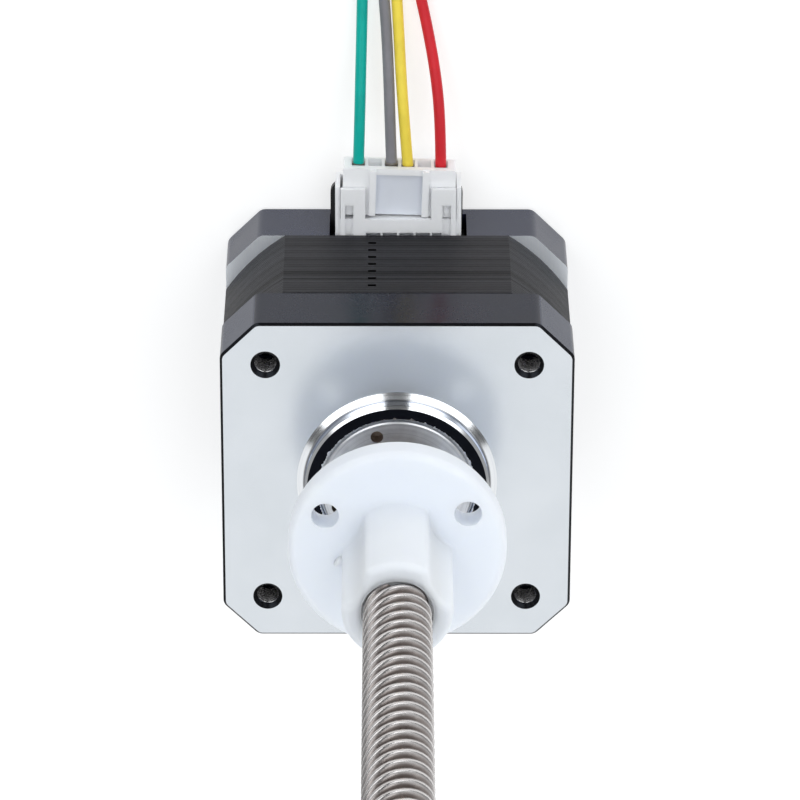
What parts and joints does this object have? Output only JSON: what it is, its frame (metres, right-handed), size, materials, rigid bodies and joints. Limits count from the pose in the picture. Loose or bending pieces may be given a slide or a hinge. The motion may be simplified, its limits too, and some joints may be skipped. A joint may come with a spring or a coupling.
{
  "type": "external linear stepper motor",
  "caption": "Square hybrid stepper motor whose shaft is a multi-start lead screw that drives a flanged plastic nut, with a plug-in lead set at the rear cap.",
  "frame": {"origin": "on the screw's axis in the plane of the mounting face, at the centre of the square of tapped holes", "axes": "+Z along the screw away from the motor, +Y towards the side with the connector, +X makes it right-handed"},
  "size_m": [0.0548, 0.1132, 0.133],
  "materials": {
    "cap_coat": "die casting with a satin black coat, machined to bare silver on the mounting face and boss",
    "lamination": "stacked dark oxidised steel sheet",
    "black_plastic": "matt moulded",
    "copper": "enamelled copper wire",
    "bearing_steel": "ground",
    "cage_brass": "plain",
    "ring_steel": "turned, fine concentric marks",
    "screw_steel": "rolled, burnished crests",
    "magnet": "sintered",
    "fastener": "black oxide",
    "white_plastic": "natural nylon, satin",
    "tinned_metal": "tin plated",
    "lead_green_skin": "soft insulation, semi-gloss",
    "lead_grey_skin": "soft insulation, semi-gloss",
    "lead_yellow_skin": "soft insulation, semi-gloss",
    "lead_red_skin": "soft insulation, semi-gloss",
    "tie_nylon": "natural nylon",
    "nut_plastic": "machined white acetal, slightly translucent"
  },
  "bodies": {
    "stator": {"front_end_cap": "cap_coat", "rear_end_cap": "cap_coat", "stator_core": "lamination", "front_insulator": "black_plastic", "rear_insulator": "black_plastic", "terminal_block": "black_plastic", "phase_a_coils": "copper", "phase_b_coils": "copper", "front_bearing_outer_ring": "bearing_steel", "rear_bearing_outer_ring": "bearing_steel", "bearing_shields": "bearing_steel", "bearing_lock_ring": "ring_steel", "preload_washer": "bearing_steel", "assembly_screws": "fastener", "connector_header": "white_plastic", "header_pins": "tinned_metal"},
    "rotor": {"lead_screw": "screw_steel", "rotor_cup_front": "lamination", "rotor_cup_rear": "lamination", "rotor_magnet": "magnet", "front_spacer": "cage_brass", "rear_spacer": "cage_brass", "front_bearing_inner_ring": "bearing_steel", "rear_bearing_inner_ring": "bearing_steel"},
    "nut": {"flange_nut": "nut_plastic", "nut_thread": "nut_plastic"},
    "front_balls": {"front_ball_set": "bearing_steel", "front_ball_cage": "cage_brass"},
    "rear_balls": {"rear_ball_set": "bearing_steel", "rear_ball_cage": "cage_brass"},
    "plug": {"plug_housing": "white_plastic", "crimp_terminals": "tinned_metal", "lead_green": "lead_green_skin", "lead_grey": "lead_grey_skin", "lead_yellow": "lead_yellow_skin", "lead_red": "lead_red_skin", "lead_coil": "lead_grey_skin", "lead_tie": "tie_nylon", "tinned_ends": "tinned_metal"}
  },
  "joints": [
    {"name": "screw_spin", "type": "hinge", "parent": "stator", "child": "rotor", "pos_m": [0, 0, 0], "axis": [0, 0, 1], "range_deg": [-2880, 450]},
    {"name": "nut_travel", "type": "slide", "parent": "stator", "child": "nut", "axis": [0, 0, 1], "range_m": [-0.01002, 0.06402]},
    {"name": "front_ball_orbit", "type": "hinge", "parent": "stator", "child": "front_balls", "pos_m": [0, 0, -0.0035], "axis": [0, 0, 1], "range_deg": [-1045, 165]},
    {"name": "rear_ball_orbit", "type": "hinge", "parent": "stator", "child": "rear_balls", "pos_m": [0, 0, -0.0291], "axis": [0, 0, 1], "range_deg": [-1045, 165]},
    {"name": "plug_release", "type": "slide", "parent": "stator", "child": "plug", "axis": [0, 1, 0], "range_m": [0, 0.007]}
  ],
  "couplings": [
    {"joint": "nut_travel", "follows": "screw_spin", "m_per_rad": -0.0012732},
    {"joint": "front_ball_orbit", "follows": "screw_spin", "ratio": 0.3619},
    {"joint": "rear_ball_orbit", "follows": "screw_spin", "ratio": 0.3619}
  ]
}
